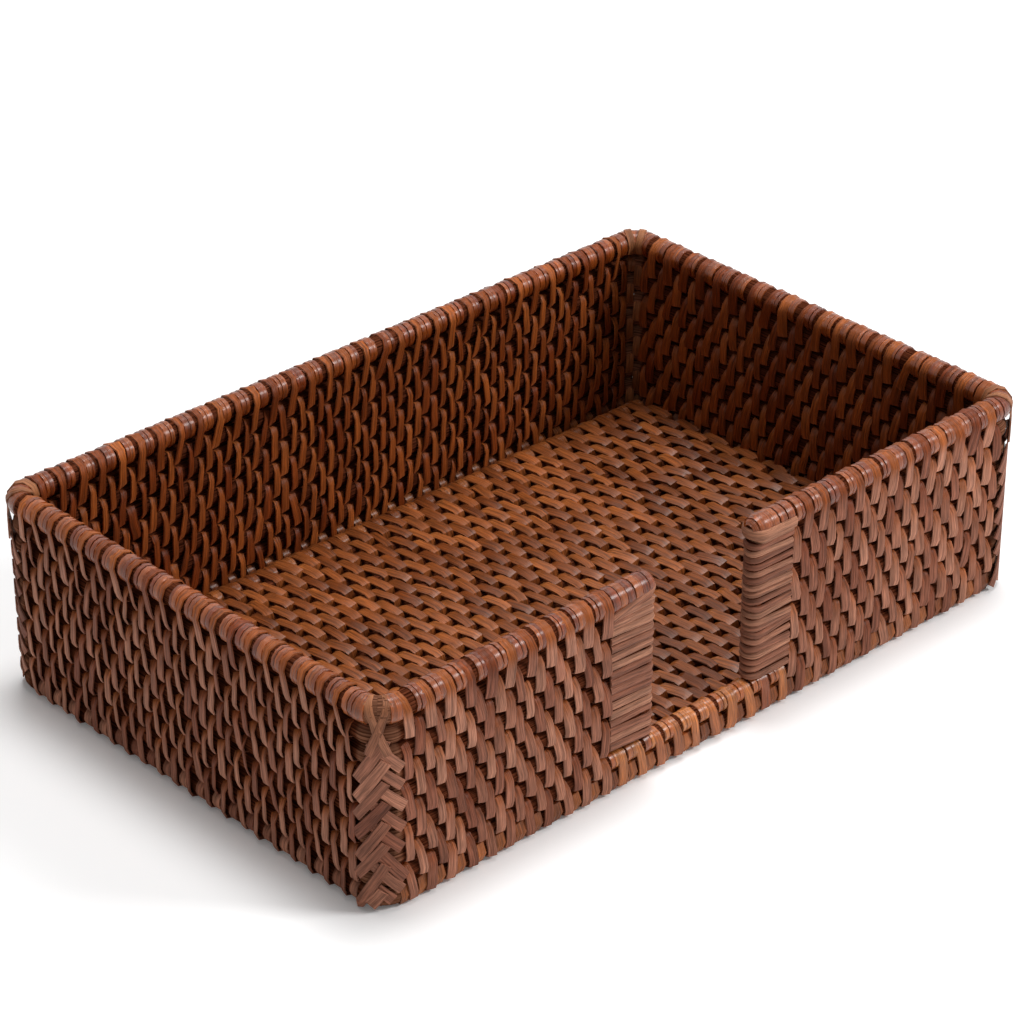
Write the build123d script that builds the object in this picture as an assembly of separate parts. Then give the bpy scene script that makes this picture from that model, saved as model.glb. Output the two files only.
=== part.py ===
from build123d import *
import math
import os

# An open napkin tray of woven rattan, in millimetres. The origin is the middle of
# the underside, X runs along the long side, the wall with the gap faces -Y, Z is up.
# Each wall is a panel of level rods under a thicker rim. Flat strips go round two
# neighbouring rods at a time, and the next column of strips starts one rod lower.

# Overall size of the tray
length = 254.0
depth = 162.0
height = 64.5

# Gap in the front wall, and the bound wall ends beside it
gap_width = 37.5
gap_offset = -6.0
left_binding_width = 17.8
right_binding_width = 15.7
left_binding_turns = 17
right_binding_turns = 20

# Rods and bars
wall_rod_radius = 2.6
floor_rod_radius = 2.5
rim_core_radius = 3.45
post_radius = 2.6
bend_radius = 6.0

# Flat strips
strip_width = 3.2
strip_thickness = 0.4
rim_strip_thickness = 0.5
base_strip_thickness = 0.5
binding_thickness = 0.75
column_step = 3.5

# Crossed strips at the corners
lash_width = 3.6
lash_length = 13.0
lash_thickness = 0.45
lash_step = 6.2
lash_slope_degrees = 48.0

# Clearances between neighbouring pieces
strip_clearance = 0.05
side_gap = 0.15
joint_clearance = 0.15

# Share of a rim's bent end that its last wrap covers, from and to
tip_wrap_shares = (0.12, 0.8)

# Radii of the wrapped rods, and where the wall's middle and the rows lie
woven_radius = wall_rod_radius + strip_clearance + strip_thickness
floor_woven_radius = floor_rod_radius + strip_clearance + strip_thickness
base_radius = wall_rod_radius + strip_clearance + base_strip_thickness
rim_radius = rim_core_radius + strip_clearance + rim_strip_thickness
wall_inset = rim_radius
rim_z = height - rim_radius
row_low_z = base_radius
row_high_z = rim_z - rim_radius - woven_radius - strip_clearance
row_gaps = math.floor((row_high_z - row_low_z) / (base_radius + woven_radius))
row_pitch = (row_high_z - row_low_z) / row_gaps
row_count = row_gaps + 1

# Row 0 is the rim, row 1 is the rod below it, and row_count is the lowest rod.
row_z = [rim_z] + [row_high_z - row_pitch * row for row in range(row_count)]
row_radius = [rim_core_radius] + [wall_rod_radius] * row_count

# Of the even and odd columns, those that leave the lowest rod of their wall free
free_kind = row_count % 2

# Middle lines of the walls, and the woven stretch between the bends
half_length = length / 2 - wall_inset
half_depth = depth / 2 - wall_inset
long_run = half_length - bend_radius
short_run = half_depth - bend_radius

# Floor rods lie between the lowest rods of the front and back walls. The outermost ones
# meet the bends of the side walls, so all of them end short of these.
floor_gaps = math.floor(2 * half_depth / (base_radius + floor_woven_radius + side_gap))
floor_pitch = 2 * half_depth / floor_gaps
floor_y = [floor_pitch * place - half_depth for place in range(floor_gaps + 1)]
floor_edge = max(0, floor_y[-2] + floor_rod_radius - short_run)
bend_inside = bend_radius - wall_rod_radius
bend_room = math.sqrt(max(0, bend_inside**2 - floor_edge**2))
floor_reach = min(half_length - woven_radius, long_run + bend_room) - joint_clearance

# Edges of the gap, its two posts, and the bound stretch beside each
gap_low = gap_offset - gap_width / 2
gap_high = gap_offset + gap_width / 2
binding_radius = post_radius + strip_clearance + binding_thickness
left_post_x = gap_low - binding_radius
right_post_x = gap_high + binding_radius
bound_low = gap_low - left_binding_width
bound_high = gap_high + right_binding_width
low_rows = (row_count - 1, row_count)
post_low_z = row_z[low_rows[0]] + woven_radius + joint_clearance
post_high_z = rim_z - rim_radius - joint_clearance
binding_high_z = rim_z - rim_core_radius - joint_clearance

# Each wall is drawn along X with its inside towards +Y, then turned into place.
wall_places = {
    "front": Location((0, -half_depth, 0), (0, 0, 0)),
    "right": Location((half_length, 0, 0), (0, 0, 90)),
    "back": Location((0, half_depth, 0), (0, 0, 180)),
    "left": Location((-half_length, 0, 0), (0, 0, 270)),
}


def columns(run):
    """Places of the strip columns along a woven run, which reaches run both ways."""
    count = math.floor(2 * run / column_step)
    pitch = 2 * run / count
    return [pitch * (place + 1 / 2) - run for place in range(count)], pitch


def bar(low, high, z, radius, bend_low, bend_high):
    """A round bar along X. A bent end turns an eighth of a circle inward to the corner."""
    turn = 45 - math.degrees(joint_clearance / bend_radius)
    run_low = low + bend_radius if bend_low else low
    run_high = high - bend_radius if bend_high else high
    path = Curve() + Line((run_low, 0), (run_high, 0))
    if bend_low:
        path += JernArc(start=(run_low, 0), tangent=(-1, 0), radius=bend_radius, arc_size=-turn)
    if bend_high:
        path += JernArc(start=(run_high, 0), tangent=(1, 0), radius=bend_radius, arc_size=turn)
    wire = path.wire()
    section = Plane(origin=wire @ 0, z_dir=wire % 0) * Circle(radius)
    return Pos(0, 0, z) * sweep(section, path=wire)


def outline(centres, radii, extra):
    """The tight loop round one circle, or two circles and their outer tangents."""
    rounds = [radius + extra for radius in radii]
    if len(centres) == 1:
        return Pos(*centres[0]) * Circle(rounds[0])
    first, second = (Vector(*centre) for centre in centres)
    along = (second - first).normalized()
    lean = (rounds[0] - rounds[1]) / (second - first).length
    across = Vector(-along.Y, along.X) * math.sqrt(1 - lean**2)
    sides = (along * lean + across, along * lean - across)
    start_a, start_b = (first + side * rounds[0] for side in sides)
    end_a, end_b = (second + side * rounds[1] for side in sides)
    loop = Curve() + Line(start_a, end_a) + Line(end_b, start_b)
    loop += ThreePointArc(end_a, second + along * rounds[1], end_b)
    loop += ThreePointArc(start_b, first - along * rounds[0], start_a)
    return make_face(loop)


def belt(centres, radii, thickness, width):
    """A flat strip wound once round one or two rods along X, with centres given as (y, z)."""
    loop = outline(centres, radii, strip_clearance + thickness)
    loop -= outline(centres, radii, strip_clearance)
    return Pos(-width / 2, 0, 0) * extrude(Plane.YZ * loop, amount=width)


def row_belt(rows, width):
    """A strip round the given rows of a wall."""
    thickness = rim_strip_thickness if rows[0] == 0 else strip_thickness
    return belt([(0, row_z[row]) for row in rows], [row_radius[row] for row in rows], thickness, width)


def repeat(shape, places):
    """Copies of a shape at the given places along X."""
    return [Pos(place, 0, 0) * shape for place in places]


def wrap_width(pitch):
    """Width of a wrap that fills the rim between two narrow strips."""
    return 2 * pitch - strip_width - 2 * side_gap


def weave_strips(numbered, lone_last):
    """Strips round two rows each. Even columns start at the rim, odd ones at the first rod.
    Where lone_last says so, a column that leaves the lowest rod free has a strip round it."""
    solids = []
    for kind in (0, 1):
        places = [x for number, x in numbered if number % 2 == kind]
        for row in range(kind, row_count, 2):
            solids += repeat(row_belt((row, row + 1), strip_width), places)
        if lone_last and kind == free_kind:
            solids += repeat(row_belt((row_count,), strip_width), places)
    return solids


def rim_tip_wrap(high):
    """The last wrap of a rim, on its bent end at the high side."""
    first_turn, last_turn = (45 * share for share in tip_wrap_shares)
    loop = outline([(0, rim_z)], [rim_core_radius], strip_clearance + rim_strip_thickness)
    loop -= outline([(0, rim_z)], [rim_core_radius], strip_clearance)
    axis = Axis((0, bend_radius, 0), (0, 0, 1))
    wrap = revolve(Plane.YZ * loop, axis, last_turn - first_turn)
    return Pos(high - bend_radius, 0, 0) * wrap.rotate(axis, first_turn)


def corner_lashing():
    """Crossed strips round a corner that points to +X, in two layers over the rod ends."""
    rise = lash_length / 2 * math.sin(math.radians(lash_slope_degrees))
    rise += lash_width / 2 * math.cos(math.radians(lash_slope_degrees))
    low_z = rise + joint_clearance
    high_z = rim_z - rim_core_radius - joint_clearance - rise
    steps = math.floor((high_z - low_z) / lash_step)
    solids = []
    for layer, slope in enumerate((lash_slope_degrees, -lash_slope_degrees)):
        inner = bend_radius + wall_rod_radius + strip_clearance
        inner += layer * (lash_thickness + strip_clearance)
        shell = Cylinder(inner + lash_thickness, height) - Cylinder(inner, height)
        reach = inner + lash_thickness
        cut = Pos(reach / 2, 0, 0) * Rot(X=slope) * Box(reach, lash_length, lash_width)
        strip = shell & cut
        for step in range(steps + 1):
            solids.append(Pos(0, 0, low_z + (high_z - low_z) * step / steps) * strip)
    return solids


def binding(width, turns):
    """Level strips round a wall end that lies at x = 0, with the wall towards -X."""
    rise = (binding_high_z - post_low_z) / turns
    post_x = -binding_radius
    loop = Sketch()
    for radius, cut in ((binding_radius, False), (post_radius + strip_clearance, True)):
        straight = Pos((post_x - width) / 2, 0) * Rectangle(width + post_x, 2 * radius)
        shape = straight + Pos(post_x, 0) * Circle(radius)
        loop = loop - shape if cut else loop + shape
    strip = extrude(loop, amount=rise - side_gap)
    return [Pos(0, 0, post_low_z + rise * turn) * strip for turn in range(turns)]


def save(node, solids):
    """Write the solids of one named piece."""
    flat = [solid for shape in solids for solid in shape.solids()]
    export_step(Compound(flat), os.path.join("parts", node + ".step"))


def place_wall(wall, solids):
    """Turn solids that are drawn along X into the place of their wall."""
    return [wall_places[wall] * solid for solid in solids]


os.makedirs("parts", exist_ok=True)
long_places, long_pitch = columns(long_run)
short_places, short_pitch = columns(short_run)
all_rows = range(1, row_count + 1)
upper_rows = range(1, low_rows[0])

# Left, right and back walls: a rim and a stack of rods each, woven from bend to bend.
# The back wall is turned half round, so its columns count from the other end.
plain_walls = (
    ("left", half_depth, short_places, short_pitch, True),
    ("right", half_depth, short_places, short_pitch, True),
    ("back", half_length, long_places[::-1], long_pitch, False),
)
for wall, half, places, pitch, lone_last in plain_walls:
    rim = [bar(-half, half, rim_z, rim_core_radius, True, True)]
    rods = [bar(-half, half, row_z[row], wall_rod_radius, True, True) for row in all_rows]
    tip = rim_tip_wrap(half)
    wraps = repeat(row_belt((0,), wrap_width(pitch)), places[1::2]) + [tip, mirror(tip, Plane.YZ)]
    save("rim_core_" + wall, place_wall(wall, rim))
    save("rods_" + wall, place_wall(wall, rods))
    save("rim_wraps_" + wall, place_wall(wall, wraps))
    save("weave_strips_" + wall, place_wall(wall, weave_strips(list(enumerate(places)), lone_last)))

# Front wall: two stretches beside the gap, whose upper rods end at the posts
numbered = list(enumerate(long_places))
rim_end = gap_width / 2 + rim_core_radius + rim_strip_thickness
post_end = gap_width / 2 + binding_radius + post_radius + joint_clearance
half_wide = wrap_width(long_pitch) / 2
front_walls = (
    ("front_left", 1, [(n, x) for n, x in numbered if x + strip_width / 2 < bound_low]),
    ("front_right", -1, [(n, x) for n, x in numbered if x - strip_width / 2 > bound_high]),
)
for wall, side, woven in front_walls:
    corner = -side * half_length
    rim_stop = gap_offset - side * rim_end
    rod_stop = gap_offset - side * post_end
    low_end, high_end = sorted((corner, rim_stop))
    rim = bar(low_end, high_end, rim_z, rim_core_radius, side > 0, side < 0)
    rim += Pos(rim_stop, 0, rim_z) * Sphere(rim_core_radius)
    low_end, high_end = sorted((corner, rod_stop))
    rods = [bar(low_end, high_end, row_z[row], wall_rod_radius, side > 0, side < 0) for row in upper_rows]
    beside = [(n, x) for n, x in numbered if side * (rim_stop - x) > half_wide]
    wide_places = [x for n, x in beside if n % 2 == 1]
    narrow_places = [x for n, x in beside if n % 2 == 0 and (n, x) not in woven]
    tip = rim_tip_wrap(half_length)
    wraps = repeat(row_belt((0,), 2 * half_wide), wide_places)
    wraps += repeat(row_belt((0,), strip_width), narrow_places)
    wraps += [mirror(tip, Plane.YZ) if side > 0 else tip]
    save("rim_core_" + wall, place_wall("front", [rim]))
    save("rods_" + wall, place_wall("front", rods))
    save("rim_wraps_" + wall, place_wall("front", wraps))
    save("weave_strips_" + wall, place_wall("front", weave_strips(woven, False)))

# The two lowest rods run right across the front, and form the sill of the gap.
low_rods = [bar(-half_length, half_length, row_z[row], wall_rod_radius, True, True) for row in low_rows]
save("rods_front_low", place_wall("front", low_rods))
sill_places = [column for column in numbered if column not in front_walls[0][2] + front_walls[1][2]]
sill_strips = repeat(row_belt(low_rows, strip_width), [x for n, x in sill_places if n % 2 != free_kind])
sill_wraps = repeat(row_belt(low_rows[:1], 2 * half_wide), [x for n, x in sill_places if n % 2 == free_kind])
save("sill_strips", place_wall("front", sill_strips))
save("sill_wraps", place_wall("front", sill_wraps))

# Posts at the wall ends, each under a bound stretch of level strips
post_rise = post_high_z - post_low_z
post = Pos(0, 0, post_low_z + post_rise / 2) * Cylinder(post_radius, post_rise)
save("end_post_left", place_wall("front", [Pos(left_post_x, 0, 0) * post]))
save("end_post_right", place_wall("front", [Pos(right_post_x, 0, 0) * post]))
left_strips = binding(left_binding_width, left_binding_turns)
right_strips = binding(right_binding_width, right_binding_turns)
right_strips = [mirror(strip, Plane.YZ) for strip in right_strips]
save("post_binding_left", place_wall("front", repeat(Compound(left_strips), [gap_low])))
save("post_binding_right", place_wall("front", repeat(Compound(right_strips), [gap_high])))

# Corners: the panels' rod ends meet there and are lashed together by crossed strips
lashing = Compound(corner_lashing())
for corner, x_side, y_side, turn in (
    ("front_left", -1, -1, 225),
    ("front_right", 1, -1, 315),
    ("back_right", 1, 1, 45),
    ("back_left", -1, 1, 135),
):
    place = Location((x_side * long_run, y_side * short_run, 0), (0, 0, turn))
    save("corner_lashing_" + corner, [place * lashing])

# Floor: rods along X, held by columns of strips. Every other column also goes round
# the lowest rods of the front and back walls, and the tray stands on these.
floor_rod = Pos(0, 0, row_low_z) * Rot(Y=90) * Cylinder(floor_rod_radius, 2 * floor_reach)
save("floor_rods", [Pos(0, y, 0) * floor_rod for y in floor_y[1:-1]])
inner_centres = [(floor_y[1], row_low_z), (floor_y[-2], row_low_z)]
inner_strip = belt(inner_centres, [floor_rod_radius] * 2, strip_thickness, strip_width)
save("floor_strips_inner", repeat(inner_strip, long_places[1 - free_kind :: 2]))
outer_centres = [(floor_y[0], row_low_z), (floor_y[-1], row_low_z)]
outer_strip = belt(outer_centres, [wall_rod_radius] * 2, base_strip_thickness, strip_width)
save("floor_strips_outer", repeat(outer_strip, long_places[free_kind::2]))
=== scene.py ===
import math

import bpy
import numpy as np
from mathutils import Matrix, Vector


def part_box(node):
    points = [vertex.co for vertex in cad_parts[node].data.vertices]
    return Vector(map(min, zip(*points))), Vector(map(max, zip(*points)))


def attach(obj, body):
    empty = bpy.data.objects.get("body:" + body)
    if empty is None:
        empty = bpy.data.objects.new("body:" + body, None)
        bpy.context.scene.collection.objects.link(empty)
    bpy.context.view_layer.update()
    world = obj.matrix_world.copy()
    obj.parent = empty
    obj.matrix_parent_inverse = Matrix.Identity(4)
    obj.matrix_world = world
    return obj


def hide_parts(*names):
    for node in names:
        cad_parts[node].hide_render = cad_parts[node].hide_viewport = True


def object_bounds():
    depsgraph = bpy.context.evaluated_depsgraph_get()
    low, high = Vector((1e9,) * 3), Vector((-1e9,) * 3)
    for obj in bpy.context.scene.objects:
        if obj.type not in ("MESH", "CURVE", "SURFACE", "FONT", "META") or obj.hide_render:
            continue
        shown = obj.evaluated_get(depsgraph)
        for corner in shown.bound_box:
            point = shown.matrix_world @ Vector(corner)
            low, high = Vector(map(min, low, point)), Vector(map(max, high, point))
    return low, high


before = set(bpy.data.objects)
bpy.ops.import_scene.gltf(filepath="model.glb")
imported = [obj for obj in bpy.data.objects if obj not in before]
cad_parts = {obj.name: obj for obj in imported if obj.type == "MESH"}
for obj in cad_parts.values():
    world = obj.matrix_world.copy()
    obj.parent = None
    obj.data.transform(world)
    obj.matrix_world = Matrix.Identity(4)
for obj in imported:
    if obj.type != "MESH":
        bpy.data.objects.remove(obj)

# A woven rattan napkin tray, in metres, in the frame of the solids. Every strip and
# rod is a section carried along a path. Chance comes from one seeded source.
cad_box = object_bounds()
chance = np.random.default_rng(11)
mm = 0.001

# A pair for chance, such as flare_sizes or turn_shares, is the least and the most that it
# gives. A spread is its usual departure to either side.

# Rods: how far they swell at bends, in the floor and in height, and how they are divided
bend_radius = 6.0 * mm
bend_swell_share = 0.1
floor_swell_share = 0.1
rod_swell_share = 0.19
swell_turn = math.radians(15)
bend_turn = np.radians(np.linspace(9, 44.8, 5))
dome_turn = np.radians([25, 50, 72, 86])
rod_sides = 16
rod_steps = 12

# Weave strips, which go round two rods each
row_count = 9
column_step = 3.5 * mm
strip_width = 3.15 * mm
strip_thickness = 0.42 * mm
rim_strip_thickness = 0.5 * mm
rim_strip_width_share = 1.08
seat = 0.05 * mm
lean_degrees = 6.0
front_right_lean_degrees = 0.5
lean_spread_degrees = 4.8
twist_degrees = 15.0
twist_spread_degrees = 5.0
twist_lift_share = 0.5
foot_share = 0.16
foot_degrees = 32
flare_sizes = (0.1 * mm, 0.5 * mm)
bow = 0.2 * mm
bow_spread = 0.2 * mm
column_spread = 0.16 * mm
strip_width_shares = (0.8, 1.06)
strip_thickness_shares = (0.85, 1.0)
foot_polish = 0.1
polish_start_depth = 4.5 * mm
polish_full_depth = 0.5 * mm

# Wraps, which go round one rod each
side_gap = 0.12 * mm
turn_gap = 0.08 * mm
wrap_steps = 12
wrap_lean_degrees = 4.0
wrap_lean_spread_degrees = 2.0
wrap_spread = 0.08 * mm
wrap_width_shares = (0.95, 1.02)
wrap_thickness_shares = (0.88, 1.0)
turn_shares = (0.36, 0.64)
bare_shares = (0.04, 0.34)
rim_strip_cover_share = 0.9
sill_strip_cover_share = 0.84
bare_wrap_width = 3.0 * mm
bend_wrap_width = 2.5 * mm
bend_wrap_flare = 1.2 * mm
bend_wraps_degrees = (13, 36)
open_bend_wraps_degrees = (13,)
tip_wrap_degrees = (14, 48)
tip_wrap_widths = (2.3 * mm, 1.9 * mm)
tip_wrap_thickness = 0.4 * mm

# Crossed strips at the corners, with the start, end and slope of each layer in degrees, the
# ties over the rim, which start at their foot below it, and the short strips inside
lash_layers = ((-14, 41, -44), (-39, 12, 54))
lash_width = 3.4 * mm
lash_thickness = 0.45 * mm
lash_steps = 9
lash_end_spread_degrees = 2.5
lash_slope_spread_degrees = 3.5
lash_height_spread = 0.25 * mm
lash_width_shares = (0.84, 1.06)
lowest_lash_share = 0.45
tie_width = 2.5 * mm
tie_foot = np.array([-11.5, -9.0, -6.5, -4.2]) * mm
tie_over = np.radians([-25, 15, 55, 95, 135, 175, 215])
tie_swing_degrees = (-15, 40)
tie_swing_limit_degrees = 29
tie_tones = (0.6, 0.9)
tie_foot_polish = 0.2
inner_strip_width = 2.6 * mm
inner_strip_width_shares = (0.9, 1.05)
inner_strip_reach_share = 1.1
inner_strip_tuck_shares = np.array([0.8, 0.1, 0, 0, 0.8])
inner_swing_degrees = 21
inner_swing_spread_degrees = 3
inner_slant_degrees = 12

# Bindings of the wall ends. A cup is one of the top turns: the heights that it rises from and
# to, against the rim's middle, and its width.
left_turns = 17
right_turns = 20
left_drop = 1.5 * mm
binding_thickness = 0.75 * mm
binding_gap = 0.1 * mm
binding_tilt_spread = 0.28 * mm
binding_sag_spread = 0.16 * mm
binding_width_shares = (0.88, 1.03)
binding_thickness_shares = (0.75, 1.15)
inner_widening_share = 0.34
inner_widening_way = 0.4
lowest_turn_share = 0.4
binding_polish = 0.1
left_cups = ((-5.6 * mm, -2.9 * mm, 2.7 * mm), (-3.9 * mm, -0.5 * mm, 2.6 * mm))
right_cups = ((-3.4 * mm, -3.2 * mm, 2.4 * mm), (-1.2 * mm, -0.9 * mm, 3.4 * mm))
cup_thickness_share = 0.9
cup_polish = 0.2
end_steps = 9
arm_steps = 4
post_steps = 4

# Floor strips
floor_strip_width = 3.3 * mm
floor_lean_degrees = 4.0
floor_end_polish = 0.5
floor_side_share = 0.85

# Sizes read from the frame
rim_low, rim_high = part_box("rim_core_left")
core_radius = (rim_high.z - rim_low.z) / 2
rim_z = (rim_high.z + rim_low.z) / 2
half_length = -rim_low.x - core_radius
half_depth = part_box("rim_core_back")[1].y - core_radius
rods_low, rods_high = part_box("rods_left")
rod_radius = -rods_low.x - half_length
rod_z = np.linspace(rods_high.z - rod_radius, rods_low.z + rod_radius, row_count)
row_z = np.append(rim_z, rod_z)
row_radius = np.append(core_radius, np.full(row_count, rod_radius))
floor_low, floor_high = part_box("floor_rods")
floor_radius = (floor_high.z - floor_low.z) / 2
floor_z = (floor_high.z + floor_low.z) / 2
floor_first_y = floor_low.y + floor_radius
floor_gaps = round(2 * half_depth / (floor_first_y + half_depth))
floor_y = np.linspace(-half_depth, half_depth, floor_gaps + 1)
binding_low, binding_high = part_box("post_binding_left")
bound_low = binding_low.x
bound_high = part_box("post_binding_right")[1].x
post_low, post_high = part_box("end_post_left")
post_radius = (post_high.x - post_low.x) / 2
post_x = {
    "left": (post_low.x + post_high.x) / 2,
    "right": sum(corner.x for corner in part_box("end_post_right")) / 2,
}
rim_stop = {
    "left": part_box("rim_core_front_left")[1].x - core_radius,
    "right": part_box("rim_core_front_right")[0].x + core_radius,
}
long_run = half_length - bend_radius
short_run = half_depth - bend_radius

# Sections of a flat strip with a slight crown, of a rounder one, and of a round rod
strip_section = np.array([[-1, -0.93, 0, 0.93, 1], [0, 0.84, 1, 0.84, 0]])
crowned_section = np.array([[-1, -0.87, -0.5, 0, 0.5, 0.87, 1], [0, 0.5, 0.87, 1, 0.87, 0.5, 0]])
rod_turn = np.linspace(0, 2 * np.pi, rod_sides + 1)[:-1]
rod_section = np.array([-np.cos(rod_turn), np.sin(rod_turn)])

# A wrap's way round its rod, from the top and outward
wrap_turn = np.linspace(0.5 * np.pi, -1.5 * np.pi, wrap_steps + 1)[:-1]

# Each strip starts at a place of its own in the material's pattern, up to this many millimetres
# away, and edges sharper than this angle aren't smoothed.
stretch = 500
sharp_degrees = 52


def columns(run):
    """Evenly spaced middles of the strip columns on a run that reaches run both ways."""
    count = math.floor(2 * run / column_step)
    return (np.arange(count) + 0.5) * 2 * run / count - run


def on_side(side, along, out, up):
    """Points of a wall: along it to the right as seen from outside, out from its middle, and up.
    On the floor, along is X, out is upward from the rods' middles, and up is Y."""
    if side == "right":
        x, y, z = half_length + out, along, up
    elif side == "back":
        x, y, z = -along, half_depth + out, up
    elif side == "left":
        x, y, z = -half_length - out, -along, up
    elif side == "front":
        x, y, z = along, -half_depth - out, up
    else:
        x, y, z = along, up, floor_z + out
    return np.stack(np.broadcast_arrays(x, y, z), -1)


def toward(side, along, out, up):
    """Directions on a wall or the floor, as the difference of two of its points."""
    zero = np.zeros_like(out)
    return on_side(side, along, out, up) - on_side(side, zero, zero, zero)


def soft_step(value, low, high):
    """Rises smoothly from 0 at low to 1 at high: three squares of the share, less two cubes."""
    share = np.clip((value - low) / (high - low), 0, 1)
    return share * share * (3 - 2 * share)


def carry(section, path, out, half_width, thickness, closed, tone, polish, twist=0.0):
    """Carries a closed section along each of several paths. A section point lies at the path,
    plus its share of half_width sideways, plus its share of thickness outward. Sideways is
    the outward direction crossed with the path's own, and both are turned about it by twist."""
    strips, steps, around = path.shape[0], path.shape[1], section.shape[1]
    ahead = np.roll(path, -1, 1) - np.roll(path, 1, 1) if closed else np.gradient(path, axis=1)
    side = np.cross(out, ahead)
    side /= np.linalg.norm(side, axis=-1, keepdims=True)
    twist = np.broadcast_to(twist, (strips, steps))[..., None]
    side, out = side * np.cos(twist) + out * np.sin(twist), out * np.cos(twist) - side * np.sin(twist)
    wide = np.broadcast_to(half_width, (strips, steps))[..., None] * section[0]
    thick = np.broadcast_to(thickness, (strips, steps))[..., None] * section[1]
    points = path[:, :, None] + side[:, :, None] * wide[..., None] + out[:, :, None] * thick[..., None]

    index = np.arange(strips * steps * around).reshape(strips, steps, around)
    ring = np.roll(index, -1, 2)
    last = steps if closed else steps - 1
    following = np.roll(index, -1, 1)[:, :last], np.roll(ring, -1, 1)[:, :last]
    quads = np.stack([index[:, :last], following[0], following[1], ring[:, :last]], -1)
    caps = np.zeros((0, around), int)
    if not closed:
        caps = np.concatenate([index[:, 0], index[:, -1, ::-1]])

    # Lengths along and across in millimetres, from a place of its own for each strip
    hop = np.linalg.norm(np.roll(path, -1, 1) - path, axis=-1)
    run = np.concatenate([np.zeros((strips, 1)), np.cumsum(hop, 1)], 1) / mm
    run += chance.uniform(0, stretch, (strips, 1))
    edge = np.linalg.norm(np.roll(section, -1, 1) - section, axis=0)
    girth = np.append(0, np.cumsum(edge)) * np.mean(half_width) / mm
    girth = girth + chance.uniform(0, stretch, (strips, 1))
    u_low, u_high = run[:, :last, None], run[:, 1 : last + 1, None]
    v_low, v_high = girth[:, None, :-1], girth[:, None, 1:]
    corners = [(u_low, v_low), (u_high, v_low), (u_high, v_high), (u_low, v_high)]
    quad_uv = np.stack([np.stack(np.broadcast_arrays(u, v), -1) for u, v in corners], -2)
    cap_uv = np.full((caps.size, 2), chance.uniform(0, stretch))

    spread = (strips, steps, around)
    return {
        "points": points.reshape(-1, 3),
        "quads": quads.reshape(-1, 4),
        "caps": caps,
        "uv": np.concatenate([quad_uv.reshape(-1, 2), cap_uv]),
        "tone": np.broadcast_to(np.reshape(tone, (-1, 1, 1)), spread).ravel(),
        "polish": np.broadcast_to(np.reshape(polish, (*np.shape(polish), 1)), spread).ravel(),
    }


def make_piece(name, surfaces, material, slot, *nodes):
    """Joins surfaces into one mesh with a length map and two point values, and seats it in the frame."""
    parts = ("points", "uv", "tone", "polish")
    joined = {part: np.concatenate([surface[part] for surface in surfaces]) for part in parts}
    faces = []
    count = 0
    for surface in surfaces:
        faces += (surface["quads"] + count).tolist() + (surface["caps"] + count).tolist()
        count += len(surface["points"])
    mesh = bpy.data.meshes.new(name)
    mesh.from_pydata(joined["points"], [], faces)
    lengths = mesh.uv_layers.new(name="lengths")
    lengths.uv.foreach_set("vector", joined["uv"].astype(np.float32).ravel())
    for value in ("tone", "polish"):
        numbers = joined[value].astype(np.float32)
        mesh.attributes.new(value, "FLOAT", "POINT").data.foreach_set("value", numbers)
    mesh.shade_smooth()
    mesh.set_sharp_from_angle(angle=math.radians(sharp_degrees))
    mesh.materials.append(material)
    piece = bpy.data.objects.new(name, mesh)
    bpy.context.scene.collection.objects.link(piece)
    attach(piece, "root")
    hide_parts(*nodes)


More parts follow.
